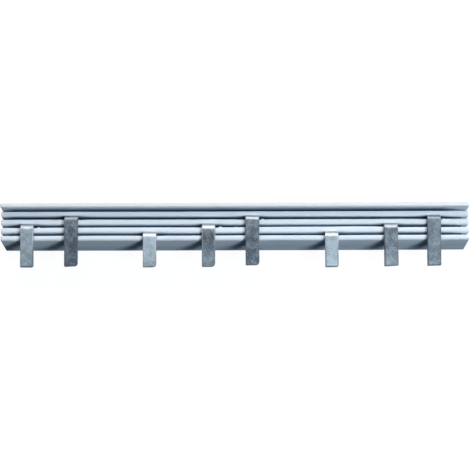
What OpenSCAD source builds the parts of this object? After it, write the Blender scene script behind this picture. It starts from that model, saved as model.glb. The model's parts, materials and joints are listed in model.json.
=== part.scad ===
// Comb busbar for eight one-module devices on a mounting rail.
// Three stamped strips of tinned copper stand on edge in the chambers of an extruded
// plastic profile, and their tabs are bent down over its front.
//
// Frame: X runs along the profile, -Y is the side that the tabs point to, and +Z is the
// open front. The origin is the centre of the flat back face, which lies on z = 0.

/* [Rail modules] */
// Number of device modules that the busbar spans
module_count = 8; // [4:1:18]
// Width of one module
module_w = 17.6; // [17:0.1:18.5]
// Length left free at each end for an end cap
end_room = 1.95; // [0:0.05:4]

/* [Insulating profile] */
// Thickness of the back wall
back_t = 1.2; // [0.8:0.1:3]
// Thickness of the bottom wall beside its chamber
floor_t = 1.35; // [0.8:0.05:3]
// Thickness of a wall between two chambers
wall_t = 1.3; // [0.8:0.05:3]
// Thickness of the top wall beside its chamber
roof_t = 0.95; // [0.6:0.05:3]
// How far each lip stands into the mouth of its chamber
lip_grip = 0.15; // [0.05:0.01:0.3]
// Depth of the lips, from the chamber to the tips of the fins
lip_depth = 2.2; // [1:0.1:5]
// Length of the slope from a chamber to its lips
shoulder_run = 0.3; // [0.1:0.05:0.8]
// Radius on the front corners of the fins
fin_tip_r = 0.45; // [0.1:0.05:0.8]
// Radius on the two back corners
back_corner_r = 0.4; // [0.1:0.05:0.7]

/* [Hood] */
// How far the hood reaches past the tips of the fins
hood_reach = 2.8; // [2:0.1:8]
// How far the bead along the hood's front edge hangs below the hood
bead_drop = 0.1; // [0.05:0.01:0.4]
// Depth of that bead, from back to front
bead_depth = 1.3; // [0.8:0.1:2]
// Radius on the front corners of the hood
hood_tip_r = 0.4; // [0.1:0.05:0.5]

/* [Phase bars] */
// Thickness of the copper strip
bar_t = 1; // [0.6:0.1:2]
// Width of the strip, from its back edge to its front edge
bar_w = 10; // [6:0.5:20]
// Clearance between a strip and each side of its chamber
bar_side_gap = 0.05; // [0.02:0.01:0.2]
// Clearance between a strip's front edge and the slope of the lips
bar_front_gap = 0.1; // [0.05:0.01:0.5]
// Distance from each cut end of the profile back to the end of a strip
bar_setback = 2; // [0.5:0.25:4]

/* [Tabs] */
// Number of modules from one tab of a strip to the next
tab_modules = 3; // [1:1:4]
// Width of a tab
tab_w = 4; // [2:0.1:7]
// Inner radius of the bend in each tab
bend_r = 0.8; // [0.6:0.1:1.5]
// Gap between the tips of the fins and the back of the tabs
tab_standoff = 0.5; // [0.3:0.1:1.2]
// Radius in the corners where a tab leaves its strip
root_r = 0.4; // [0.1:0.05:0.5]
// Radius that stamping and plating leave on the long edges of a tab
edge_r = 0.15; // [0.05:0.01:0.25]
// Chamfer on the left corner of each tip
tip_chamfer_left = 0.2; // [0.05:0.05:1]
// Chamfer on the right corner of each tip
tip_chamfer_right = 0.6; // [0.05:0.05:1.5]
// Reach of the lower strip's tabs below the bottom wall
tip_reach_lower = 8.2; // [4:0.1:14]
// Reach of the middle strip's tabs below the bottom wall
tip_reach_middle = 8; // [4:0.1:14]
// Reach of the upper strip's tabs below the bottom wall
tip_reach_upper = 7.7; // [4:0.1:14]
// Distance from the profile's left end to the lower strip's first tab
first_tab_lower = 43.7; // [5:0.1:50]
// Distance from the profile's left end to the middle strip's first tab
first_tab_middle = 8.1; // [5:0.1:50]
// Distance from the profile's left end to the upper strip's first tab
first_tab_upper = 20.7; // [5:0.1:50]

/* [Lips spread by the tabs] */
// Clearance between a tab and the lips that it holds apart
spread_gap = 0.1; // [0.05:0.01:0.2]
// Length beside a tab over which the lips stay fully apart
spread_side = 0.6; // [0.55:0.05:1.5]
// Length over which the lips then close again
spread_run = 2.4; // [1:0.1:5]

/* [Hidden] */
$fn = 48;
// Sideways overrun of a cut, so that it leaves no skin
over = 0.5;
// Straight steps that stand for the curve of a lip as it closes beside a tab
spread_steps = 4;

// Chambers are counted from the bottom wall: three hold a strip, and the fourth is spare
chamber_count = 4;
lower_chamber = 0;
middle_chamber = 1;
upper_chamber = 2;

profile_len = module_count * module_w - 2 * end_room;
chamber_h = bar_t + 2 * bar_side_gap;
mouth_h = chamber_h - 2 * lip_grip;
chamber_pitch = chamber_h + wall_t;
profile_h = floor_t + chamber_count * chamber_h + (chamber_count - 1) * wall_t + roof_t;
bottom_y = -profile_h / 2;
top_y = profile_h / 2;

bar_front_z = back_t + bar_w;
lip_z = bar_front_z + bar_front_gap;
fin_tip_z = lip_z + lip_depth;
hood_tip_z = fin_tip_z + hood_reach;

bar_len = profile_len - 2 * bar_setback;
tab_pitch = tab_modules * module_w;
tab_back_z = fin_tip_z + tab_standoff;
bend_z = tab_back_z - bend_r;
spread_h = bar_t + 2 * spread_gap;

// Height at which the middle of a chamber lies
function chamber_y(index) = bottom_y + floor_t + chamber_h / 2 + index * chamber_pitch;

// Heights of the two lips of a chamber's mouth
function mouth_low_y(index) = chamber_y(index) - mouth_h / 2;
function mouth_high_y(index) = chamber_y(index) + mouth_h / 2;

// Height of the hood's underside, flush with the uppermost lip
hood_y = mouth_high_y(chamber_count - 1);

// Places of a strip's tabs along X, as many as fit between its ends
function tab_places(first_tab) =
    [for (x = first_tab - profile_len / 2; x <= bar_len / 2 - tab_w; x = x + tab_pitch) x];

// Sections are drawn with Y across and Z up, and this runs them along X
module run_along_x(length) {
    translate([-length / 2, 0, 0])
        rotate([90, 0, 90])
            linear_extrude(length)
                children();
}

// Section of a wall from back_z to a front edge with two round corners
module wall_section(low_y, high_y, back_z, front_z, corner_r) {
    r = min(corner_r, (high_y - low_y) / 2 - 0.01);
    translate([low_y, back_z])
        square([high_y - low_y, front_z - back_z - r]);
    translate([low_y + r, back_z])
        square([high_y - low_y - 2 * r, front_z - back_z]);
    for (y = [low_y + r, high_y - r])
        translate([y, front_z - r])
            circle(r);
}

// Section of a chamber, with the slopes that lead to its lips
module chamber_section(index) {
    translate([chamber_y(index), 0])
        polygon([
            [-chamber_h / 2, back_t], [chamber_h / 2, back_t],
            [chamber_h / 2, lip_z], [mouth_h / 2, lip_z + shoulder_run],
            [-mouth_h / 2, lip_z + shoulder_run], [-chamber_h / 2, lip_z]
        ]);
}

// What the rounding takes off one back corner
module back_corner_waste() {
    difference() {
        translate([-over, -over])
            square(back_corner_r + over);
        translate([back_corner_r, back_corner_r])
            circle(back_corner_r);
    }
}

// Whole section of the profile: back wall, bottom wall, fins and top wall with its hood
module profile_section() {
    difference() {
        union() {
            translate([bottom_y, 0])
                square([profile_h, back_t]);
            wall_section(bottom_y, mouth_low_y(0), 0, fin_tip_z, fin_tip_r);
            for (i = [1:chamber_count - 1])
                wall_section(mouth_high_y(i - 1), mouth_low_y(i), 0, fin_tip_z, fin_tip_r);
            translate([hood_y, 0])
                square([top_y - hood_y, hood_tip_z - bead_depth / 2]);
            wall_section(
                hood_y - bead_drop, top_y,
                hood_tip_z - bead_depth, hood_tip_z, hood_tip_r
            );
        }
        for (i = [0:chamber_count - 1])
            chamber_section(i);
        translate([bottom_y, 0])
            back_corner_waste();
        translate([top_y, 0])
            mirror([1, 0])
                back_corner_waste();
    }
}

// Half the opening between two lips, at a distance from the middle of a tab
function spread_at(distance) =
    let (along = max(0, distance - tab_w / 2 - spread_side) / spread_run)
    mouth_h / 2 + (spread_h - mouth_h) / 2 * (1 + cos(180 * along)) / 2;

// Room that one tab makes for itself between the lips of its chamber
module spread_cut(x, index) {
    distances = [
        for (i = [0:spread_steps])
            tab_w / 2 + spread_side + spread_run * i / spread_steps
    ];
    places = concat([for (i = [spread_steps:-1:0]) -distances[i]], distances);
    last = len(places) - 1;
    translate([x, chamber_y(index), lip_z])
        linear_extrude(lip_depth + over)
            polygon(concat(
                [for (place = places) [place, -spread_at(abs(place))]],
                [for (i = [last:-1:0]) [places[i], spread_at(abs(places[i]))]]
            ));
}

// Extruded plastic profile, with its lips held apart at every tab
module insulating_profile() {
    color([0.80, 0.86, 0.91])
        difference() {
            run_along_x(profile_len)
                profile_section();
            for (x = tab_places(first_tab_lower))
                spread_cut(x, lower_chamber);
            for (x = tab_places(first_tab_middle))
                spread_cut(x, middle_chamber);
            for (x = tab_places(first_tab_upper))
                spread_cut(x, upper_chamber);
        }
}

// Root of a tab, with a round corner on each side, in the plane of its strip
module tab_root() {
    linear_extrude(bar_t)
        difference() {
            translate([-tab_w / 2 - root_r, -over])
                square([tab_w + 2 * root_r, root_r + over]);
            for (side = [-1, 1])
                translate([side * (tab_w / 2 + root_r), root_r])
                    circle(root_r);
        }
}

// Section of a tab, with its thickness across and its width up
module tab_section() {
    square([bar_t - 2 * edge_r, tab_w], center = true);
    square([bar_t, tab_w - 2 * edge_r], center = true);
    for (across = [-1, 1], up = [-1, 1])
        translate([across * (bar_t / 2 - edge_r), up * (tab_w / 2 - edge_r)])
            circle(edge_r);
}

// What the chamfer takes off one corner of a tab's tip
module tip_waste(chamfer) {
    translate([0, 0, -over])
        linear_extrude(bar_t + 2 * over)
            rotate(45)
                square(chamfer * sqrt(2), center = true);
}

// Leg of a tab, from its tip up to the bend
module tab_leg(x, tip_y, length) {
    difference() {
        translate([x, tip_y, tab_back_z + bar_t / 2])
            rotate([-90, -90, 0])
                linear_extrude(length)
                    tab_section();
        translate([x - tab_w / 2, tip_y, tab_back_z])
            tip_waste(tip_chamfer_left);
        translate([x + tab_w / 2, tip_y, tab_back_z])
            tip_waste(tip_chamfer_right);
    }
}

// One tab: root, neck between the lips, quarter bend over the fins, and leg.
// Its strip's lower face lies at y.
module tab(x, y, tip_y) {
    translate([x, y + bar_t, bar_front_z])
        rotate([90, 0, 0])
            tab_root();
    translate([x, y + bar_t / 2, bar_front_z])
        rotate([0, 0, 90])
            linear_extrude(bend_z - bar_front_z)
                tab_section();
    translate([x, y - bend_r, bend_z])
        rotate([90, 0, 90])
            rotate_extrude(angle = 90)
                translate([bend_r + bar_t / 2, 0])
                    tab_section();
    tab_leg(x, tip_y, y - bend_r - tip_y);
}

// Stamped copper strip that stands on the back wall, with its tabs
module phase_bar(index, first_tab, tip_reach) {
    y = chamber_y(index) - bar_t / 2;
    translate([-bar_len / 2, y, back_t])
        cube([bar_len, bar_t, bar_w]);
    for (x = tab_places(first_tab))
        tab(x, y, bottom_y - tip_reach);
}

// Strip next to the bottom wall
module phase_bar_lower() {
    color([0.66, 0.70, 0.72])
        phase_bar(lower_chamber, first_tab_lower, tip_reach_lower);
}

// Strip in the second chamber
module phase_bar_middle() {
    color([0.58, 0.61, 0.63])
        phase_bar(middle_chamber, first_tab_middle, tip_reach_middle);
}

// Strip in the third chamber, below the spare one
module phase_bar_upper() {
    color([0.47, 0.50, 0.52])
        phase_bar(upper_chamber, first_tab_upper, tip_reach_upper);
}

insulating_profile();
phase_bar_lower();
phase_bar_middle();
phase_bar_upper();
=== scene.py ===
import json
import math
from collections import namedtuple

import bmesh
import bpy
from mathutils import Matrix, Vector, noise


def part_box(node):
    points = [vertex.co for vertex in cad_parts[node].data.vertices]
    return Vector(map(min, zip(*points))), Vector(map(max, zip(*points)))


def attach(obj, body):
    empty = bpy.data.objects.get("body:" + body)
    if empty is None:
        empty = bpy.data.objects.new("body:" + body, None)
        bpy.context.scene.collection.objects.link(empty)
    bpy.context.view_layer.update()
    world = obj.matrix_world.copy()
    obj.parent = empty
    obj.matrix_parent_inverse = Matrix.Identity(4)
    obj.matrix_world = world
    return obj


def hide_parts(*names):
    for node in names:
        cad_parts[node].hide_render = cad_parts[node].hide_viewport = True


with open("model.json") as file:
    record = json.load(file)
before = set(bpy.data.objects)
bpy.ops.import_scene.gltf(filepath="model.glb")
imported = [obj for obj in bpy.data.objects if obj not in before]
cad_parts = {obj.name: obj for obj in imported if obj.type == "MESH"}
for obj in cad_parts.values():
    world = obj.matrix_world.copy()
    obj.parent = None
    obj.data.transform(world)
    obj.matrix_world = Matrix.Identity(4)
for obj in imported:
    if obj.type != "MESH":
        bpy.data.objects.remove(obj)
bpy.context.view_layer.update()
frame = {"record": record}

# ------------------------------------------------------------------ insulating profile
# One length of rigid PVC, extruded with four chambers and sawn off square at both ends.
# Its fins are thin blades rooted in the back wall, and each tab that comes out between
# two of them pushes their lips apart, so the slots swell beside the tabs.

MM = 0.001
profile_low, profile_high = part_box("insulating_profile")
strip_low, strip_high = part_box("phase_bar_lower")
STRIP_T = 1.0 * MM
STRIP_W = 10.0 * MM
STRIP_PLAY = 0.1 * MM
TAB_W = 4.0 * MM

CHAMBER_COUNT = 4
CHAMBER_H = 1.1 * MM
CHAMBER_PITCH = 2.4 * MM
MOUTH_H = 0.8 * MM
MOUTH_DEPTH = 2.2 * MM
BACK_T = strip_low.z
LIP_Z = BACK_T + STRIP_W + STRIP_PLAY
SHOULDER_RUN = 0.3 * MM
FIN_TIP_Z = LIP_Z + MOUTH_DEPTH
LOWER_TIP_R = 0.72 * MM
UPPER_TIP_R = 0.30 * MM
HOOD_WALL = CHAMBER_COUNT
HOOD_TIP_Z = profile_high.z
HOOD_TIP_R = 0.4 * MM
BEAD_DROP = 0.1 * MM
BEAD_DEPTH = 1.3 * MM
BACK_CORNER_R = 0.06 * MM
FLANK_STEPS = 5

# How far a tab lifts the lip above it and presses the lip below it, and the shares of this
# that reach the other side of the fin and the thicker bottom wall
LIFT = 0.20 * MM
PRESS = 0.12 * MM
FAR_SIDE = 0.10
BASE_GIVE = 0.5

# The lips close again over the first run beside a tab, but for a share that takes the second
CLOSE_RUN = 2.0 * MM
FAR_RUN = 6.0 * MM
FAR_SHARE = 0.08

# Slow waver of the walls from the die: how far, over what length, and how much it differs
# from one wall to the next
SWAY = 0.008 * MM
SWAY_RUN = 18 * MM
SWAY_STRIDE = 7.3


def tab_places(bar):
    """Where a strip's tabs stand along X, from the mounts on their front faces."""
    names = bar.replace("phase_bar_", "") + "_tab_"
    mounts = frame["record"]["mounts"]
    return sorted(m["pos_m"][0] for m in mounts if m["name"].startswith(names))


BARS = ("phase_bar_lower", "phase_bar_middle", "phase_bar_upper")
TABS = [tab_places(bar) for bar in BARS]


def chamber_y(index):
    """Middle height of a chamber, counted from the bottom wall."""
    return strip_high.y - STRIP_T / 2 + index * CHAMBER_PITCH


def arc(centre_y, centre_z, radius, start, end, steps=5):
    """Points on an arc from one angle to another, with 0 along +Y and 90 along +Z."""
    angles = [math.radians(start + (end - start) * i / steps) for i in range(steps + 1)]
    return [(centre_y + radius * math.cos(a), centre_z + radius * math.sin(a)) for a in angles]


def chamber_side(index, side):
    """One side of a chamber, from the back wall out to the rounding of its lip."""
    y = chamber_y(index)
    web, lip = y + side * CHAMBER_H / 2, y + side * MOUTH_H / 2
    heights = [BACK_T + (LIP_Z - BACK_T) * i / FLANK_STEPS for i in range(FLANK_STEPS + 1)]
    shoulder = LIP_Z + SHOULDER_RUN
    return [(web, z) for z in heights] + [(lip, shoulder), (lip, (shoulder + FIN_TIP_Z) / 2)]


def profile_outline():
    """Closed outline of the section, as (y, z, wall, side, nick), walls counted upwards.

    side is -1 on a wall's lower flank, 1 on its upper one and 0 on the middle of its front.
    nick is 1 on the upper front corner, where a passing tab can raise a burr.
    """
    points = []

    def add(wall, side, along, nick=0.0):
        points.extend((y, z, wall, side, nick) for y, z in along)

    bottom, top = profile_low.y, profile_high.y
    rise = FIN_TIP_Z - LOWER_TIP_R - BACK_CORNER_R
    flank = [BACK_CORNER_R + rise * i / FLANK_STEPS for i in range(FLANK_STEPS)]
    add(0, -1, [(bottom, z) for z in flank])
    for wall in range(CHAMBER_COUNT):
        low = bottom if wall == 0 else chamber_y(wall - 1) + MOUTH_H / 2
        high = chamber_y(wall) - MOUTH_H / 2
        add(wall, -1, arc(low + LOWER_TIP_R, FIN_TIP_Z - LOWER_TIP_R, LOWER_TIP_R, 180, 90))
        add(wall, 0, [((low + LOWER_TIP_R + high - UPPER_TIP_R) / 2, FIN_TIP_Z)])
        upper_z = FIN_TIP_Z - UPPER_TIP_R
        add(wall, 1, arc(high - UPPER_TIP_R, upper_z, UPPER_TIP_R, 90, 0), nick=1.0)
        add(wall, 1, reversed(chamber_side(wall, -1)))
        add(wall + 1, -1, chamber_side(wall, 1))
    hood = chamber_y(CHAMBER_COUNT - 1) + MOUTH_H / 2
    bead, bead_z, tip_z = hood - BEAD_DROP, HOOD_TIP_Z - BEAD_DEPTH, HOOD_TIP_Z - HOOD_TIP_R
    add(HOOD_WALL, -1, [(hood, FIN_TIP_Z), (hood, bead_z - BEAD_DROP), (bead, bead_z + BEAD_DROP)])
    add(HOOD_WALL, -1, arc(bead + HOOD_TIP_R, tip_z, HOOD_TIP_R, 180, 90))
    add(HOOD_WALL, 1, arc(top - HOOD_TIP_R, tip_z, HOOD_TIP_R, 90, 0))
    add(HOOD_WALL, 1, arc(top - BACK_CORNER_R, BACK_CORNER_R, BACK_CORNER_R, 0, -90))
    add(0, -1, arc(bottom + BACK_CORNER_R, BACK_CORNER_R, BACK_CORNER_R, -90, -180)[:-1])
    return points


def swelling(x, places):
    """How far open a mouth stands at x, from 0 where it is at rest to 1 at a tab."""
    total = 0.0
    for place in places:
        beside = max(0.0, abs(x - place) - TAB_W / 2)
        near = math.exp(-((beside / CLOSE_RUN) ** 2))
        far = math.exp(-((beside / FAR_RUN) ** 2))
        total += (1 - FAR_SHARE) * near + FAR_SHARE * far
    return total


def wall_shift(x, wall, side):
    """Sideways shift of the front edge of one side of a wall at x, or of its middle."""
    if side == 0:
        return (wall_shift(x, wall, -1) + wall_shift(x, wall, 1)) / 2
    shift = 0.0
    if 0 < wall <= len(TABS):
        share = 1 - (1 - FAR_SIDE) * (side + 1) / 2
        shift += LIFT * swelling(x, TABS[wall - 1]) * share
    if wall < len(TABS):
        share = 1 - (1 - FAR_SIDE) * (1 - side) / 2
        shift -= PRESS * swelling(x, TABS[wall]) * share * (BASE_GIVE if wall == 0 else 1.0)
    for at, edge, place, run, moved in SETS:
        if (at, edge) == (wall, side):
            shift += moved * math.exp(-(((x - place) / run) ** 4))
    if wall < CHAMBER_COUNT:
        shift += SWAY * noise.noise(Vector((x / SWAY_RUN, SWAY_STRIDE * wall, 1.0)))
    return shift


# Where the lips have taken a slight set over the years: wall, side, place along X, half
# length and how far the edge has moved
SETS = (
    (3, -1, -64 * MM, 62 * MM, 0.14 * MM),
    (3, -1, -66 * MM, 22 * MM, 0.12 * MM),
    (3, -1, 24 * MM, 24 * MM, 0.05 * MM),
    (3, 1, -60 * MM, 22 * MM, 0.06 * MM),
    (2, -1, -36 * MM, 34 * MM, 0.02 * MM),
    (2, -1, -68 * MM, 8 * MM, 0.10 * MM),
    (2, 1, -58 * MM, 26 * MM, 0.08 * MM),
    (1, 1, -45 * MM, 16 * MM, 0.04 * MM),
    (1, 1, -18 * MM, 20 * MM, 0.03 * MM),
    (1, 1, 17 * MM, 13 * MM, 0.13 * MM),
    (1, 1, 38 * MM, 9 * MM, 0.20 * MM),
    (1, 1, 60 * MM, 12 * MM, -0.10 * MM),
    (1, -1, 0 * MM, 34 * MM, -0.16 * MM),
    (1, -1, -24.75 * MM, 2.6 * MM, -0.07 * MM),
    (1, -1, 28.05 * MM, 2.6 * MM, -0.08 * MM),
    (0, 1, -18 * MM, 16 * MM, -0.03 * MM),
    (0, 1, 14 * MM, 50 * MM, -0.02 * MM),
    (0, -1, 54 * MM, 16 * MM, 0.06 * MM),
    (0, -1, -54 * MM, 16 * MM, 0.03 * MM),
)

# How far the underside of the bottom wall bows down at the back, halfway along
BASE_SAG = 0.06 * MM

# Burrs that the tabs have raised on the lips: wall, place along X, height and half width;
# and the share of its height by which each burr stands forward as well
NICKS = (
    (1, TABS[1][0] + TAB_W / 2 + 0.9 * MM, 0.26 * MM, 0.60 * MM),
    (1, TABS[1][1] + TAB_W / 2 + 1.3 * MM, 0.30 * MM, 0.60 * MM),
    (1, TABS[1][1] + TAB_W / 2 + 5.9 * MM, 0.10 * MM, 0.60 * MM),
    (2, TABS[2][1] + TAB_W / 2 + 1.1 * MM, 0.20 * MM, 0.45 * MM),
    (2, TABS[2][2] + TAB_W / 2 + 1.2 * MM, 0.16 * MM, 0.45 * MM),
    (2, TABS[2][0] - TAB_W / 2 - 1.6 * MM, 0.08 * MM, 0.50 * MM),
)
BURR_LEAN = 0.4

# How far apart the section is repeated: along the profile, at its ends, beside a tab and,
# as a share of its half width, across a burr; and the least distance that is kept
LONG_STEP = 1.5 * MM
END_STEP = 0.15 * MM
TAB_STEP, TAB_STEPS = 0.5 * MM, 14
BURR_STEP, BURR_STEPS = 0.25, 8
LEAST_STEP = 0.05 * MM


def station_places():
    """Where the section is repeated along X: closer together beside tabs and burrs."""
    half = profile_high.x
    places = {-half, half, -half + END_STEP, half - END_STEP}
    places.update(-half + i * LONG_STEP for i in range(1, int(2 * half / LONG_STEP)))
    for place in sum(TABS, []):
        places.update(place + i * TAB_STEP for i in range(-TAB_STEPS, TAB_STEPS + 1))
    for _, place, _, width in NICKS:
        places.update(place + i * width * BURR_STEP for i in range(-BURR_STEPS, BURR_STEPS + 1))
    kept = []
    for place in sorted(p for p in places if -half <= p <= half):
        if not kept or place - kept[-1] > LEAST_STEP:
            kept.append(place)
    kept[-1] = half
    return kept


def section_ring(x, outline, inset):
    """The outline's points at x, with the walls shifted, the burrs raised and the edge inset."""
    ring = []
    count = len(outline)
    for i, (y, z, wall, side, nick) in enumerate(outline):
        share = max(0.0, (z - BACK_T) / (FIN_TIP_Z - BACK_T)) ** 2
        shift = wall_shift(x, wall, side) * min(share, 1.0)
        if wall == 0 and side == -1:
            shift -= BASE_SAG * max(0.0, 1 - z / FIN_TIP_Z) ** 2 * (1 - (x / profile_high.x) ** 4)
        raised = sum(
            height * math.exp(-(((x - place) / width) ** 2) * 2)
            for at, place, height, width in NICKS
            if at == wall and nick
        )
        before, after = outline[i - 1], outline[(i + 1) % count]
        along = Vector((after[0] - before[0], after[1] - before[1])).normalized()
        ring.append(Vector((
            x,
            y + shift + raised + along.y * inset,
            z + raised * BURR_LEAN - along.x * inset,
        )))
    return ring


def smooth_with_sharp_edges(bm, limit=32):
    """Smooth shading that stays crisp along edges sharper than the limit, in degrees."""
    for face in bm.faces:
        face.smooth = True
    for edge in bm.edges:
        edge.smooth = edge.calc_face_angle(0.0) < math.radians(limit)


def finished_object(name, bm):
    """Turns mesh data into an object in the scene."""
    mesh = bpy.data.meshes.new(name)
    bm.to_mesh(mesh)
    bm.free()
    piece = bpy.data.objects.new(name, mesh)
    bpy.context.scene.collection.objects.link(piece)
    flats = piece.modifiers.new("flat_faces_stay_flat", "WEIGHTED_NORMAL")
    flats.keep_sharp = True
    flats.weight = 100
    return piece


def clamp(value):
    """The value, kept between 0 and 1."""
    return max(0.0, min(1.0, value))


# Painted shade in the slots: how far behind the front of the fins it starts, and over what depth
# it
# becomes full: on the lower side of each wall, counted upwards to the hood, and on every upper
# side
LOWER_LIP_SHADE = (
    (0.20 * MM, 0.90 * MM),
    (0.08 * MM, 0.53 * MM),
    (0.17 * MM, 0.47 * MM),
    (0.20 * MM, 0.82 * MM),
    (-1.40 * MM, 1.75 * MM),
)
UPPER_LIP_SHADE = (0.20 * MM, 0.90 * MM)

# Painted shade on the front of the fin under the hood, which lies in the hood's shade; and how
# much less painted shade the two lower slots take deep inside: where that begins, over what depth,
# and by what share
HOOD_SHADE = 0.16
LIGHTER_FROM, LIGHTER_RUN, LIGHTER_SHARE = 0.8 * MM, 0.4 * MM, 0.5


def slot_shade_at(outline_point):
    """How much painted shade a point of the section takes: 0 outside, 1 deep inside a slot."""
    y, z, wall, side, _ = outline_point
    outside = y < profile_low.y + LOWER_TIP_R or y > profile_high.y - HOOD_TIP_R
    if outside and wall in (0, HOOD_WALL):
        return 0.0
    start, run = LOWER_LIP_SHADE[wall] if side < 0 else UPPER_LIP_SHADE
    shade_amount = clamp((FIN_TIP_Z - start - z) / run)
    # The fin under the hood takes a little painted shade on its front
    if wall == HOOD_WALL - 1 and side == 0:
        shade_amount = max(shade_amount, HOOD_SHADE)
    # The two lower slots take less painted shade deep inside
    if wall < 2 or (wall == 2 and side < 0):
        shade_amount *= 1 - LIGHTER_SHARE * clamp((FIN_TIP_Z - LIGHTER_FROM - z) / LIGHTER_RUN)
    return shade_amount


# Over what length in from the left and the right end the painted shade in the slots fades out,
# where light comes in at the open ends, and the share of it with no painted shade at all; and how
# far the edges of the sawn ends are broken
SHADE_FADE_LEFT, SHADE_FADE_RIGHT = 3.0 * MM, 6.5 * MM
UNSHADED_SHARE = 0.2
SAW_BREAK = 0.14 * MM

# How strongly the underside is painted with a darker, bluer shade at the back, from where it
# fades out towards the front, and how near the underside a point is to take it
UNDERSIDE_SHADE = 1.15
UNDERSIDE_DEPTH = 0.1 * MM


def extruded_profile():
    """The whole profile: the section swept along X, with lightly broken cut edges."""
    outline = profile_outline()
    bm = bmesh.new()
    slot_shade = bm.verts.layers.float.new("slot_shade")
    flank = bm.verts.layers.float.new("flank")
    faded = bm.verts.layers.float.new("faded")
    rings = []
    stations = station_places()
    for x in stations:
        inset = SAW_BREAK if x in (stations[0], stations[-1]) else 0.0
        rings.append([bm.verts.new(point) for point in section_ring(x, outline, inset)])
        # Painted shade in the slots fades out towards the open ends
        shade_fade = SHADE_FADE_RIGHT if x > 0 else SHADE_FADE_LEFT
        shade_share = clamp((profile_high.x - abs(x)) / shade_fade - UNSHADED_SHARE)
        for vert, point in zip(rings[-1], outline):
            y, z, wall = point[:3]
            # Painted shade deep in the slots, a dark blue-grey put into the plastic's colour
            vert[slot_shade] = slot_shade_at(point) * shade_share
            vert[faded] = float(wall == HOOD_WALL and z > FIN_TIP_Z)
            # The underside takes a painted blue shade, strongest at the back
            if y < profile_low.y + UNDERSIDE_DEPTH:
                vert[flank] = min(1.0, UNDERSIDE_SHADE * (1 - z / FIN_TIP_Z))
    for before, after in zip(rings, rings[1:]):
        for i in range(len(outline)):
            bm.faces.new((before[i - 1], before[i], after[i], after[i - 1]))
    bm.faces.new(rings[0])
    bm.faces.new(reversed(rings[-1]))
    bmesh.ops.recalc_face_normals(bm, faces=bm.faces)
    smooth_with_sharp_edges(bm)
    return finished_object("extruded_profile", bm)


profile = extruded_profile()
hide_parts("insulating_profile")
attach(profile, "root")


def add_node(tree, kind, **settings):
    """A node of the given kind; settings name its properties or its inputs by name."""
    node = tree.nodes.new(kind)
    for name, value in settings.items():
        if hasattr(node, name):
            setattr(node, name, value)
        else:
            node.inputs[name.replace("_", " ")].default_value = value
    return node


def new_group(name, inputs, outputs):
    """An empty node group with named sockets, and its input and output nodes."""
    group = bpy.data.node_groups.new(name, "ShaderNodeTree")
    for label, kind, value in inputs:
        socket = group.interface.new_socket(label, in_out="INPUT", socket_type=kind)
        socket.default_value = value
    for label, kind in outputs:
        group.interface.new_socket(label, in_out="OUTPUT", socket_type=kind)
    return group, group.nodes.new("NodeGroupInput"), group.nodes.new("NodeGroupOutput")


def scaled_place(group, entry):
    """Object coordinates times the group's Frequency, and stretched by its Stretch."""
    place = add_node(group, "ShaderNodeTexCoord")
    stretch = add_node(group, "ShaderNodeVectorMath", operation="MULTIPLY")
    scale = add_node(group, "ShaderNodeVectorMath", operation="SCALE")
    group.links.new(place.outputs["Object"], stretch.inputs[0])
    group.links.new(entry.outputs["Stretch"], stretch.inputs[1])
    group.links.new(stretch.outputs[0], scale.inputs[0])
    group.links.new(entry.outputs["Frequency"], scale.inputs["Scale"])
    return scale.outputs[0]


def blotch_group():
    """Cloudy blotches from 0 to 1, of any size and contrast, stretched along any axis."""
    group, entry, out = new_group(
        "blotches",
        (
            ("Frequency", "NodeSocketFloat", 100.0),
            ("Stretch", "NodeSocketVector", (1.0, 1.0, 1.0)),
            ("Low", "NodeSocketFloat", 0.35),
            ("High", "NodeSocketFloat", 0.65),
        ),
        (("Mask", "NodeSocketFloat"),),
    )
    clouds = add_node(group, "ShaderNodeTexNoise", Scale=1.0, Detail=4.0, Roughness=0.6)
    span = add_node(group, "ShaderNodeMapRange", interpolation_type="SMOOTHSTEP")
    group.links.new(scaled_place(group, entry), clouds.inputs["Vector"])
    group.links.new(clouds.outputs["Fac"], span.inputs["Value"])
    group.links.new(entry.outputs["Low"], span.inputs["From Min"])
    group.links.new(entry.outputs["High"], span.inputs["From Max"])
    group.links.new(span.outputs["Result"], out.inputs["Mask"])
    return group


def speck_group():
    """Small scattered specks of uneven size: dust on plastic, pits in plating."""
    group, entry, out = new_group(
        "specks",
        (
            ("Frequency", "NodeSocketFloat", 1000.0),
            ("Stretch", "NodeSocketVector", (1.0, 1.0, 1.0)),
            ("Radius", "NodeSocketFloat", 0.3),
            ("Share", "NodeSocketFloat", 0.3),
        ),
        (("Mask", "NodeSocketFloat"),),
    )
    cells = add_node(group, "ShaderNodeTexVoronoi", Scale=1.0)
    chance = add_node(group, "ShaderNodeSeparateColor")
    reach = add_node(group, "ShaderNodeMath", operation="LESS_THAN")
    size = add_node(group, "ShaderNodeMath", operation="MULTIPLY")
    inside = add_node(group, "ShaderNodeMapRange", To_Min=1.0, To_Max=0.0)
    kept = add_node(group, "ShaderNodeMath", operation="MULTIPLY")
    group.links.new(scaled_place(group, entry), cells.inputs["Vector"])
    group.links.new(cells.outputs["Color"], chance.inputs[0])
    group.links.new(chance.outputs["Red"], reach.inputs[0])
    group.links.new(entry.outputs["Share"], reach.inputs[1])
    group.links.new(chance.outputs["Green"], size.inputs[0])
    group.links.new(entry.outputs["Radius"], size.inputs[1])
    group.links.new(cells.outputs["Distance"], inside.inputs["Value"])
    group.links.new(size.outputs[0], inside.inputs["From Max"])
    group.links.new(inside.outputs["Result"], kept.inputs[0])
    group.links.new(reach.outputs[0], kept.inputs[1])
    group.links.new(kept.outputs[0], out.inputs["Mask"])
    return group


BLOTCHES = blotch_group()
SPECKS = speck_group()


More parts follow.
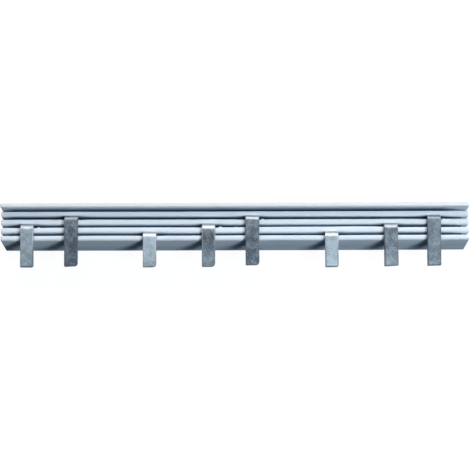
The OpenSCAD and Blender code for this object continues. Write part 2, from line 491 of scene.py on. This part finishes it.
def mask(tree, group, **settings):
    """The mask that a shared group puts out with this material's own values."""
    node = tree.nodes.new("ShaderNodeGroup")
    node.node_tree = group
    for name, value in settings.items():
        node.inputs[name].default_value = value
    return node.outputs["Mask"]


def combined(tree, operation, first, second):
    """One Math node over two sockets or plain numbers."""
    node = add_node(tree, "ShaderNodeMath", operation=operation)
    for socket, value in zip(node.inputs, (first, second)):
        if isinstance(value, (int, float)):
            socket.default_value = value
        else:
            tree.links.new(value, socket)
    return node.outputs[0]


def blended(tree, amount, first, second):
    """A colour between two colours or sockets, by a mask."""
    node = add_node(tree, "ShaderNodeMix", data_type="RGBA")
    tree.links.new(amount, node.inputs["Factor"])
    for socket, value in zip((node.inputs[6], node.inputs[7]), (first, second)):
        if isinstance(value, tuple):
            socket.default_value = (*value, 1.0)
        else:
            tree.links.new(value, socket)
    return node.outputs[2]


def bumped(tree, height, depth):
    """A normal from a height mask, with its real depth in metres."""
    node = add_node(tree, "ShaderNodeBump", Distance=depth)
    tree.links.new(height, node.inputs["Height"])
    return node.outputs["Normal"]


def new_material(name):
    """An empty node material: its node tree and its Principled shader."""
    material = bpy.data.materials.new(name)
    material.use_nodes = True
    tree = material.node_tree
    tree.nodes.clear()
    shader = tree.nodes.new("ShaderNodeBsdfPrincipled")
    output = tree.nodes.new("ShaderNodeOutputMaterial")
    tree.links.new(shader.outputs[0], output.inputs[0])
    return material, tree, shader


def painted(tree, name):
    """A value stored at the mesh's points."""
    return add_node(tree, "ShaderNodeAttribute", attribute_name=name).outputs["Fac"]


def pvc_material():
    """Pale blue-grey PVC with die lines along its length, faint marks, sawn ends, and painted
    shade in its slots and on its underside.
    """
    material, tree, shader = new_material("extruded_pvc")
    along = (0.004, 1.0, 1.0)
    die_lines = mask(tree, BLOTCHES, Frequency=9000.0, Stretch=along, Low=0.38, High=0.62)
    broad_lines = mask(tree, BLOTCHES, Frequency=1500.0, Stretch=along, Low=0.4, High=0.62)
    clouds = mask(tree, BLOTCHES, Frequency=90.0, Stretch=(0.6, 1.0, 1.0), Low=0.3, High=0.7)
    grain = mask(tree, BLOTCHES, Frequency=14000.0, Low=0.3, High=0.7)
    dust = mask(tree, SPECKS, Frequency=900.0, Radius=0.22, Share=0.12)
    saw = mask(
        tree, BLOTCHES, Frequency=6000.0, Stretch=(1.0, 0.05, 1.0), Low=0.4, High=0.6,
    )
    facing = add_node(tree, "ShaderNodeNewGeometry")
    split = add_node(tree, "ShaderNodeSeparateXYZ")
    tree.links.new(facing.outputs["True Normal"], split.inputs[0])
    endways = combined(tree, "ABSOLUTE", split.outputs["X"], 0.0)
    cut = combined(tree, "GREATER_THAN", endways, 0.6)

    fresh, dull = (0.770, 0.830, 0.886), (0.715, 0.782, 0.846)
    # The second of these is a painted blue shade for the underside
    die_streak, shade_blue = (0.665, 0.745, 0.825), (0.250, 0.515, 0.740)
    sun_faded = (0.770, 0.790, 0.815)
    # The first of these is painted shade for the depths of the slots; the second is real dust
    slot_shade_colour, dust_speck = (0.180, 0.275, 0.430), (0.33, 0.37, 0.42)
    saw_dark, saw_light = (0.70, 0.79, 0.87), (0.78, 0.86, 0.92)
    colour = blended(tree, combined(tree, "MULTIPLY", clouds, 0.55), fresh, dull)
    streaks = combined(tree, "MULTIPLY", broad_lines, 0.30)
    colour = blended(tree, streaks, colour, die_streak)
    # Painted shade: the underside darker and bluer towards the back, streaked along the die lines
    underside_shading = combined(tree, "ADD", combined(tree, "MULTIPLY", broad_lines, 0.5), 0.15)
    underside_shading = combined(tree, "MULTIPLY", underside_shading, painted(tree, "flank"))
    colour = blended(tree, underside_shading, colour, shade_blue)
    colour = blended(tree, painted(tree, "faded"), colour, sun_faded)
    # Painted shade: the slots darken towards their depths
    slot_shading = combined(tree, "MULTIPLY", painted(tree, "slot_shade"), 0.85)
    colour = blended(tree, slot_shading, colour, slot_shade_colour)
    colour = blended(tree, combined(tree, "MULTIPLY", dust, 0.5), colour, dust_speck)
    colour = blended(tree, cut, colour, blended(tree, saw, saw_dark, saw_light))
    tree.links.new(colour, shader.inputs["Base Color"])
    rough = combined(tree, "ADD", combined(tree, "MULTIPLY", clouds, 0.10), 0.55)
    rough = combined(tree, "ADD", rough, combined(tree, "MULTIPLY", cut, 0.25))
    tree.links.new(rough, shader.inputs["Roughness"])

    skin = combined(tree, "ADD", die_lines, combined(tree, "MULTIPLY", grain, 0.35))
    teeth = combined(tree, "MULTIPLY", combined(tree, "MULTIPLY", saw, cut), 4.0)
    relief = combined(tree, "ADD", skin, teeth)
    tree.links.new(bumped(tree, relief, 0.012 * MM), shader.inputs["Normal"])
    shader.inputs["Specular IOR Level"].default_value = 0.002
    return material


profile.data.materials.append(pvc_material())

# ------------------------------------------------------------------ phase bars
# Three strips of tinned copper, each stamped out with its tabs as one flat blank. The
# tabs are then bent a quarter turn, so that all of them stand in one plane in front.

BEND_R = 0.8 * MM
TAB_BACK_Z = strip_high.z - STRIP_T
BEND_Z = TAB_BACK_Z - BEND_R
NEUTRAL_R = BEND_R + STRIP_T / 2
BEND_START = BEND_Z - BACK_T
BEND_LENGTH = NEUTRAL_R * math.pi / 2
BEND_END = BEND_START + BEND_LENGTH
BEND_STEPS = 12
ROOT_R = 0.4 * MM
TAB_FOOT = STRIP_W + ROOT_R / 2

# What sets each tab apart, in millimetres and degrees:
#   aside, lean, reach    how far it stands to the right, leans to it and reaches further down
#   wider, flare          how much wider it is cut, and how much wider again at its tip
#   left_r, right_r       the radii of its tip's corners
#   slant                 how far its end is cut out of square
# and how its plating has fared and is painted, mostly from 0 for none to 1 for full:
#   tones                 how light it is, at five places from the bend to the tip
#   bend_shine            how bright the bend is polished and painted as a highlight
#   bend_start            where that starts, as a share of the bend up from the leg
#   edge_shine            how bright the edges are painted as a highlight, on the upper part of the leg
#   edge_soil             how dark the left, right and lower edges are painted along the rims
TabLook = namedtuple(
    "TabLook",
    "aside lean reach wider flare left_r right_r slant"
    " tones bend_shine bend_start edge_shine edge_soil",
)
TAB_LOOKS = {
    "phase_bar_lower": [
        TabLook(
            aside=-0.14, lean=0.2, reach=0.07, wider=-0.10, flare=0.0,
            left_r=0.15, right_r=0.95, slant=0.0,
            tones=(0.76, 0.77, 0.74, 0.69, 0.64),
            bend_shine=0.62, bend_start=-0.08,
            edge_shine=0.5, edge_soil=(0.1, 0.0, 0.1),
        ),
        TabLook(
            aside=0.13, lean=-0.2, reach=0.18, wider=-0.14, flare=0.0,
            left_r=0.25, right_r=0.50, slant=-1.6,
            tones=(0.74, 0.73, 0.80, 0.90, 1.00),
            bend_shine=0.68, bend_start=-0.08,
            edge_shine=0.6, edge_soil=(0.5, 0.5, 0.5),
        ),
    ],
    "phase_bar_middle": [
        TabLook(
            aside=-0.39, lean=1.2, reach=0.18, wider=-0.18, flare=0.0,
            left_r=0.20, right_r=0.50, slant=0.0,
            tones=(0.56, 0.54, 0.57, 0.50, 0.44),
            bend_shine=0.57, bend_start=-0.03,
            edge_shine=0.7, edge_soil=(0.35, 0.45, 0.35),
        ),
        TabLook(
            aside=-0.17, lean=0.0, reach=0.15, wider=-0.11, flare=0.0,
            left_r=0.25, right_r=1.00, slant=0.0,
            tones=(0.24, 0.03, 0.20, 0.33, 0.38),
            bend_shine=0.74, bend_start=-0.11,
            edge_shine=0.7, edge_soil=(0.1, 0.1, 0.1),
        ),
        TabLook(
            aside=0.27, lean=-0.4, reach=0.04, wider=0.00, flare=0.14,
            left_r=0.20, right_r=0.25, slant=-3.0,
            tones=(0.26, 0.32, 0.28, 0.44, 0.52),
            bend_shine=0.72, bend_start=0.01,
            edge_shine=0.1, edge_soil=(0.8, 0.2, 0.25),
        ),
    ],
    "phase_bar_upper": [
        TabLook(
            aside=-0.12, lean=0.7, reach=0.28, wider=-0.08, flare=0.0,
            left_r=0.20, right_r=0.80, slant=-1.8,
            tones=(0.26, 0.14, 0.01, 0.04, 0.08),
            bend_shine=0.68, bend_start=0.15,
            edge_shine=0.2, edge_soil=(0.8, 0.8, 0.6),
        ),
        TabLook(
            aside=0.00, lean=0.1, reach=0.04, wider=0.02, flare=0.0,
            left_r=0.15, right_r=0.95, slant=0.0,
            tones=(0.25, 0.22, 0.10, 0.15, 0.19),
            bend_shine=1.20, bend_start=0.14,
            edge_shine=0.1, edge_soil=(0.5, 0.2, 0.2),
        ),
        TabLook(
            aside=0.32, lean=-1.2, reach=0.30, wider=0.01, flare=0.0,
            left_r=0.15, right_r=0.20, slant=-1.5,
            tones=(0.38, 0.30, 0.40, 0.36, 0.40),
            bend_shine=0.56, bend_start=0.13,
            edge_shine=0.0, edge_soil=(0.8, 0.7, 0.3),
        ),
    ],
}

# How far each strip has rocked up in its chamber, measured at the strip's front edge
ROCK = {"phase_bar_lower": 0.06 * MM, "phase_bar_middle": 0.02 * MM, "phase_bar_upper": 0.05 * MM}

# The punched edges are rounded well on the outer face and hardly on the inner one
OUTER_EDGE_R, INNER_EDGE_R = 0.26 * MM, 0.07 * MM

# Where each tab's leg is divided, as shares of its length, so that the tone of its plating
# can change from one place to the next
LEG_CUTS = (0.015, 0.12, 0.25, 0.37, 0.5, 0.62, 0.75, 0.87)

# How wide the painted dark rim of a tab's face is, and beyond which share of the tab's half width
# a point of the rim is on its left or right edge
RIM_W = 0.46 * MM
RIM_SHARE = 0.84

# Slopes that tell the parts of a rim from each other, from 1 where the face lies flat to 0
# where an edge stands square to it, and how near to a face's height a point lies on it
FLAT, CUT_SLOPE, ROUNDING_SLOPE, STEEP, FACE_SLOPE = 0.999, 0.9, 0.7, 0.5, 0.4
ON_FACE = 0.01 * MM

# How light the plating is on the strip itself, and the share of the bend over which its
# polished part, painted bright as a highlight, fades in
STRIP_TONE = 0.15
BEND_HIGHLIGHT_RUN = 0.26

# Edges are polished and painted as a highlight fully down to the first share of the leg and not
# beyond the second, less on the left edge, away from the key light, and less on the rounding next
# to the face. The highlight clears the painted dark rim, which reaches the face only over the
# first part of the leg.
GLINT_FULL, GLINT_GONE = 1 / 4, 2 / 3
LEFT_GLINT, FACE_GLINT = 0.6, 0.35
GLINT_CLEARS = 1.6
RIM_SHADE_RUN = 1 / 4


def blank_outline(places, looks, leg, strip_x):
    """Outline of one flat blank, with X along the strip and the tabs pointing up."""
    tip = BEND_END + leg
    points = [(-strip_x, 0.0), (strip_x, 0.0), (strip_x, STRIP_W)]
    for place, look in reversed(list(zip(places, looks))):
        half, middle = (TAB_W + look.wider * MM) / 2, place + look.aside * MM
        left, right = middle - half, middle + half
        rise = math.tan(math.radians(look.slant)) * TAB_W / 2
        left_tip, right_tip = tip + look.reach * MM - rise, tip + look.reach * MM + rise
        left_r, right_r = look.left_r * MM, look.right_r * MM
        flare = look.flare * MM / 2
        points += arc(right + ROOT_R, STRIP_W + ROOT_R, ROOT_R, -90, -180)
        points += arc(right + flare - right_r, right_tip - right_r, right_r, 0, 90, steps=2)
        points += arc(left - flare + left_r, left_tip - left_r, left_r, 90, 180)
        points += arc(left - ROOT_R, STRIP_W + ROOT_R, ROOT_R, 0, -90)
    return points + [(-strip_x, STRIP_W)]


def bent(point, strip_y):
    """Where a point of the flat blank ends up once its tab is bent over."""
    x, run, depth = point
    centre_y = strip_y - BEND_R
    if run <= BEND_START:
        return Vector((x, strip_y + depth, BACK_T + run))
    turn = min((run - BEND_START) / NEUTRAL_R, math.pi / 2)
    radius = BEND_R + depth
    y = centre_y + radius * math.cos(turn)
    z = BEND_Z + radius * math.sin(turn)
    beyond = max(0.0, run - BEND_START - BEND_LENGTH)
    return Vector((x, y - beyond, z))


def flat_blank(outline, leg):
    """The blank as a flat plate, divided across its tabs where they will bend or change tone."""
    bm = bmesh.new()
    bm.faces.new([bm.verts.new((x, run, 0)) for x, run in outline])
    cuts = [BEND_START + BEND_LENGTH * i / BEND_STEPS for i in range(BEND_STEPS + 1)]
    cuts += [BEND_END + leg * share for share in LEG_CUTS]
    for run in cuts:
        geometry = bm.verts[:] + bm.edges[:] + bm.faces[:]
        bmesh.ops.bisect_plane(bm, geom=geometry, plane_co=(0, run, 0), plane_no=(0, 1, 0))
    grown = bmesh.ops.extrude_face_region(bm, geom=bm.faces[:])
    raised = [v for v in grown["geom"] if isinstance(v, bmesh.types.BMVert)]
    bmesh.ops.translate(bm, vec=(0, 0, STRIP_T), verts=raised)
    bmesh.ops.recalc_face_normals(bm, faces=bm.faces)
    return bm


def round_punched_edges(bm):
    """Rounds the edges of the flat blank, face by face."""
    for depth, radius in ((STRIP_T, OUTER_EDGE_R), (0.0, INNER_EDGE_R)):
        rim = [
            e for e in bm.edges
            if all(abs(v.co.z - depth) < ON_FACE for v in e.verts)
            and any(abs(f.normal.z) < STEEP for f in e.link_faces)
        ]
        bmesh.ops.bevel(
            bm, geom=rim, offset=radius, offset_type="OFFSET", segments=4,
            profile=0.5, affect="EDGES", clamp_overlap=True,
        )


def divide_leg(bm, middle, place, across):
    """Divides the flat outer face of one tab's leg along a line."""
    bm.normal_update()
    faces = []
    for face in bm.faces:
        spot = face.calc_center_median()
        on_leg = abs(spot.x - middle) < TAB_W and spot.y > BEND_END
        if on_leg and face.normal.z > FLAT:
            faces.append(face)
    edges = list({edge for face in faces for edge in face.edges})
    verts = list({vert for face in faces for vert in face.verts})
    geometry = faces + edges + verts
    bmesh.ops.bisect_plane(bm, geom=geometry, plane_co=place, plane_no=across)


def mark_rim(bm, place, look, leg):
    """Divides a tab's outer face just inside its rim, to keep the painted dark rim narrow."""
    half, middle = (TAB_W + look.wider * MM) / 2 - RIM_W, place + look.aside * MM
    tip = BEND_END + leg + look.reach * MM - RIM_W
    divide_leg(bm, middle, Vector((middle - half, 0, 0)), Vector((1, 0, 0)))
    divide_leg(bm, middle, Vector((middle + half, 0, 0)), Vector((1, 0, 0)))
    divide_leg(bm, middle, Vector((0, tip, 0)), Vector((0, 1, 0)))


def leg_tone(look, down):
    """How light the plating is at a share of the way down a tab's leg."""
    spans = len(look.tones) - 1
    step = min(int(down * spans), spans - 1)
    near, far = look.tones[step:step + 2]
    return near + (far - near) * (down * spans - step)


def rim_shade_and_glint(vert, look, across, down):
    """How dark and how bright a point of a tab's rim is painted, or None away from the rim.

    across runs from -1 to 1 over the tab's width, and down from 0 to 1 along its leg.
    """
    slopes = [face.normal.z for face in vert.link_faces]
    # Right side faces stay part of the rim, to take the painted highlight
    on_right_side = across > RIM_SHARE and vert.co.z > STRIP_T / 4
    if min(slopes) >= FLAT or (max(slopes) <= FACE_SLOPE and not on_right_side):
        return None
    # Painted dark rim, as dark as listed for each edge
    left, right, lower = look.edge_soil
    rim_shade = left if across < -RIM_SHARE else right if across > RIM_SHARE else lower
    # Painted highlight on the edges, fading down the leg and weaker on the left, away from the
    # light
    edge_glint = look.edge_shine * clamp((GLINT_GONE - down) / (GLINT_GONE - GLINT_FULL))
    if across <= 0:
        edge_glint *= LEFT_GLINT
    if all(abs(slope) >= CUT_SLOPE for slope in slopes):
        rim_shade *= clamp(down / RIM_SHADE_RUN)
    rim_shade *= clamp(1 - GLINT_CLEARS * edge_glint)
    return rim_shade, edge_glint * (FACE_GLINT if min(slopes) > ROUNDING_SLOPE else 1.0)


def paint_bar(bm, places, looks, leg):
    """Stores cut edges, painted dark rims, how light the plating is and polished parts painted
    bright.
    """
    sheared_and_rim_shade = bm.verts.layers.float.new("sheared_and_rim_shade")
    tone = bm.verts.layers.float.new("tone")
    rub_and_highlight = bm.verts.layers.float.new("rub_and_highlight")
    bm.normal_update()
    for vert in bm.verts:
        vert[sheared_and_rim_shade] = float(any(abs(f.normal.z) < CUT_SLOPE for f in vert.link_faces))
        vert[tone] = STRIP_TONE
        tabs = [pair for pair in zip(places, looks) if abs(vert.co.x - pair[0]) < TAB_W]
        if not tabs or vert.co.y < TAB_FOOT:
            continue
        place, look = tabs[0]
        down = clamp((vert.co.y - BEND_END) / leg)
        up_bend = (BEND_END - vert.co.y) / BEND_LENGTH - look.bend_start
        vert[tone] = leg_tone(look, down)
        # The bend is polished and painted brighter, as a highlight
        vert[rub_and_highlight] = clamp(up_bend / BEND_HIGHLIGHT_RUN) * look.bend_shine
        # The tab's rim takes a painted dark rim and a painted highlight
        rim_paint = rim_shade_and_glint(vert, look, (vert.co.x - place - look.aside * MM) / (TAB_W / 2), down)
        if rim_paint:
            vert[sheared_and_rim_shade], vert[rub_and_highlight] = rim_paint[0], max(vert[rub_and_highlight], rim_paint[1])


def bend_bar(bm, places, looks, strip_y, rock):
    """Leans each tab a little to its side, then bends them all and rocks the strip."""
    for vert in bm.verts:
        beyond = max(0.0, vert.co.y - BEND_END + BEND_LENGTH / 2)
        for place, look in zip(places, looks):
            if vert.co.y > TAB_FOOT and abs(vert.co.x - place) < TAB_W:
                vert.co.x += math.tan(math.radians(look.lean)) * beyond
        vert.co = bent(vert.co, strip_y)
        vert.co.y += rock * (vert.co.z - BACK_T) / STRIP_W


def stamped_bar(name):
    """One strip with its tabs: cut flat, given its thickness and edges, then bent."""
    low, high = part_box(name)
    places, looks = tab_places(name), TAB_LOOKS[name]
    strip_y = high.y - STRIP_T
    leg = strip_y - BEND_R - low.y
    bm = flat_blank(blank_outline(places, looks, leg, high.x), leg)
    round_punched_edges(bm)
    for place, look in zip(places, looks):
        mark_rim(bm, place, look, leg)
    paint_bar(bm, places, looks, leg)
    bend_bar(bm, places, looks, strip_y, ROCK[name])
    smooth_with_sharp_edges(bm, limit=40)
    piece = finished_object(name.replace("phase_bar", "stamped_bar"), bm)
    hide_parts(name)
    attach(piece, "root")
    return piece


def tin_material():
    """Dull mottled tin on copper: grey at cut edges, painted dark on rims, painted bright where
    bent.
    """
    material, tree, shader = new_material("tin_plating")
    mottle = mask(tree, BLOTCHES, Frequency=2600.0, Low=0.30, High=0.70)
    stains = mask(tree, BLOTCHES, Frequency=520.0, Low=0.36, High=0.62)
    grain = mask(tree, BLOTCHES, Frequency=12000.0, Low=0.3, High=0.7)
    pits = mask(tree, SPECKS, Frequency=2500.0, Radius=0.45, Share=0.25)
    drawn = mask(
        tree, BLOTCHES, Frequency=5000.0, Stretch=(1.0, 0.12, 0.12), Low=0.35, High=0.65,
    )
    dragged = mask(
        tree, BLOTCHES, Frequency=4500.0, Stretch=(1.0, 0.15, 0.15), Low=0.35, High=0.75,
    )

    dark_tin, light_tin = (0.036, 0.050, 0.066), (0.232, 0.292, 0.338)
    # The bright tin is polished tin, painted bright to carry the highlights
    pit_grey, highlight_tin = (0.045, 0.052, 0.06), (0.70, 0.72, 0.77)
    # Cut faces, and the painted dark rims along the tab edges
    rim_dark, rim_light = (0.018, 0.030, 0.052), (0.060, 0.088, 0.135)
    uneven = combined(tree, "MULTIPLY", mottle, 0.36)
    uneven = combined(tree, "SUBTRACT", uneven, combined(tree, "MULTIPLY", stains, 0.22))
    uneven = combined(tree, "SUBTRACT", uneven, 0.06)
    shade = combined(tree, "ADD", painted(tree, "tone"), uneven)
    colour = blended(tree, shade, dark_tin, light_tin)
    colour = blended(tree, combined(tree, "MULTIPLY", pits, 0.5), colour, pit_grey)
    # Painted highlight: polished tin brightened on the bend and the upper edges
    rub_highlight = combined(tree, "MULTIPLY", painted(tree, "rub_and_highlight"), 0.85)
    streaked = combined(tree, "ADD", combined(tree, "MULTIPLY", dragged, 0.45), 0.78)
    rub_highlight = combined(tree, "MULTIPLY", rub_highlight, streaked)
    colour = blended(tree, rub_highlight, colour, highlight_tin)
    # Cut faces and painted dark rims, in dark grey
    cut = painted(tree, "sheared_and_rim_shade")
    colour = blended(tree, cut, colour, blended(tree, drawn, rim_dark, rim_light))
    tree.links.new(colour, shader.inputs["Base Color"])
    metal = combined(tree, "SUBTRACT", 0.92, combined(tree, "MULTIPLY", cut, 0.80))
    tree.links.new(metal, shader.inputs["Metallic"])
    rough = combined(tree, "ADD", 0.40, combined(tree, "MULTIPLY", stains, 0.12))
    rough = combined(tree, "ADD", rough, combined(tree, "MULTIPLY", cut, 0.15))
    tree.links.new(rough, shader.inputs["Roughness"])

    relief = combined(tree, "ADD", mottle, combined(tree, "MULTIPLY", grain, 0.5))
    relief = combined(tree, "SUBTRACT", relief, pits)
    relief = combined(tree, "ADD", relief, combined(tree, "MULTIPLY", drawn, cut))
    tree.links.new(bumped(tree, relief, 0.02 * MM), shader.inputs["Normal"])
    return material


tin = tin_material()
for name in BARS:
    stamped_bar(name).data.materials.append(tin)

# ------------------------------------------------------------------ floor and backdrop
# A plain pale floor under the busbar, which runs out of sight in every direction. It is
# near white to look at, keeps the busbar's shadow and throws only a little light back.

FLOOR_SIZE = 6
FLOOR_DROP = 0.05 * MM
bpy.ops.mesh.primitive_plane_add(size=FLOOR_SIZE, location=(0, 0, -FLOOR_DROP))
floor = bpy.context.object
floor.name = "floor"


def seen_directly(tree):
    """A mask that is 1 for the camera, for reflections and for what is seen through glass."""
    rays = tree.nodes.new("ShaderNodeLightPath").outputs
    either = combined(tree, "MAXIMUM", rays["Is Camera Ray"], rays["Is Glossy Ray"])
    return combined(tree, "MAXIMUM", either, rays["Is Transmission Ray"])


def floor_material():
    """A glow over a matt grey where it is seen directly, and a dark matt one elsewhere."""
    material = bpy.data.materials.new("pale_floor")
    material.use_nodes = True
    tree = material.node_tree
    tree.nodes.clear()
    glow = add_node(tree, "ShaderNodeEmission", Strength=0.93)
    matt = add_node(tree, "ShaderNodeBsdfDiffuse", Color=(0.10, 0.10, 0.10, 1))
    seen = add_node(tree, "ShaderNodeAddShader")
    tree.links.new(glow.outputs[0], seen.inputs[0])
    tree.links.new(matt.outputs[0], seen.inputs[1])
    bounce = add_node(tree, "ShaderNodeBsdfDiffuse", Color=(0.015, 0.021, 0.029, 1))
    either = add_node(tree, "ShaderNodeMixShader")
    tree.links.new(seen_directly(tree), either.inputs[0])
    tree.links.new(bounce.outputs[0], either.inputs[1])
    tree.links.new(seen.outputs[0], either.inputs[2])
    output = add_node(tree, "ShaderNodeOutputMaterial")
    tree.links.new(either.outputs[0], output.inputs[0])
    return material


floor.data.materials.append(floor_material())

# ------------------------------------------------------------------ light
# A soft key light over the tabs' side and to the right, a broad box straight above, a long
# one behind the hood, a narrow low one off the right end, and a dim blue surround.


def soft_box(name, direction, distance, width, height, watts, colour):
    """An area light that looks at the middle of the busbar."""
    data = bpy.data.lights.new(name, "AREA")
    data.shape = "RECTANGLE"
    data.size, data.size_y = width, height
    data.energy = watts
    data.color = colour
    light = bpy.data.objects.new(name, data)
    towards = Vector(direction).normalized()
    light.location = Vector((0, 0, FIN_TIP_Z)) + towards * distance
    light.rotation_mode = "QUATERNION"
    light.rotation_quaternion = towards.to_track_quat("Z", "Y")
    bpy.context.scene.collection.objects.link(light)


soft_box(
    "key", direction=(0.465, -0.50, 1.0), distance=0.45,
    width=0.135, height=0.135, watts=1.48, colour=(0.81, 0.90, 0.965),
)
soft_box(
    "overhead_box", direction=(0.0, 0.15, 1.0), distance=0.8,
    width=0.5, height=0.4, watts=1.25, colour=(1.0, 0.98, 0.95),
)
soft_box(
    "back_box", direction=(-0.1, 1.0, 0.72), distance=0.8,
    width=0.9, height=0.3, watts=4.7, colour=(1.0, 0.975, 0.925),
)
soft_box(
    "end_box", direction=(1.0, 0.17, 0.0), distance=0.35,
    width=0.11, height=0.02, watts=0.75, colour=(1.0, 1.0, 1.0),
)

world = bpy.data.worlds.new("surround")
bpy.context.scene.world = world
world.use_nodes = True
tree = world.node_tree
tree.nodes.clear()
backdrop = add_node(tree, "ShaderNodeBackground", Color=(1, 1, 1, 1))
surround = add_node(tree, "ShaderNodeBackground", Color=(0.28, 0.60, 1, 1), Strength=0.045)
either = add_node(tree, "ShaderNodeMixShader")
tree.links.new(seen_directly(tree), either.inputs[0])
tree.links.new(surround.outputs[0], either.inputs[1])
tree.links.new(backdrop.outputs[0], either.inputs[2])
output = add_node(tree, "ShaderNodeOutputWorld")
tree.links.new(either.outputs[0], output.inputs[0])

# ------------------------------------------------------------------ camera
# A long lens over the open front, tipped towards the side that the tabs point to, and
# aimed a little below the middle of the fins.

TILT = math.radians(13.46)
ROLL = math.radians(-0.17)
DISTANCE = 0.520
AIM_BELOW = 3.67 * MM
camera_data = bpy.data.cameras.new("camera")
camera_data.lens = 136.1
camera_data.sensor_width = 36
camera = bpy.data.objects.new("camera", camera_data)
bpy.context.scene.collection.objects.link(camera)
back = Vector((0, -math.sin(TILT), math.cos(TILT)))
up = Vector((0, math.cos(TILT), math.sin(TILT)))
camera.location = Vector((0, 0, FIN_TIP_Z)) + back * DISTANCE
aim = Vector((0, 0, FIN_TIP_Z)) - up * AIM_BELOW
towards = (camera.location - aim).normalized()
right = Vector((1, 0, 0))
turn = Matrix((right, towards.cross(right), towards)).transposed()
camera.matrix_world = (
    Matrix.Translation(camera.location)
    @ turn.to_4x4()
    @ Matrix.Rotation(ROLL, 4, "Z")
)
bpy.context.scene.camera = camera
bpy.context.scene.view_settings.view_transform = "Standard"
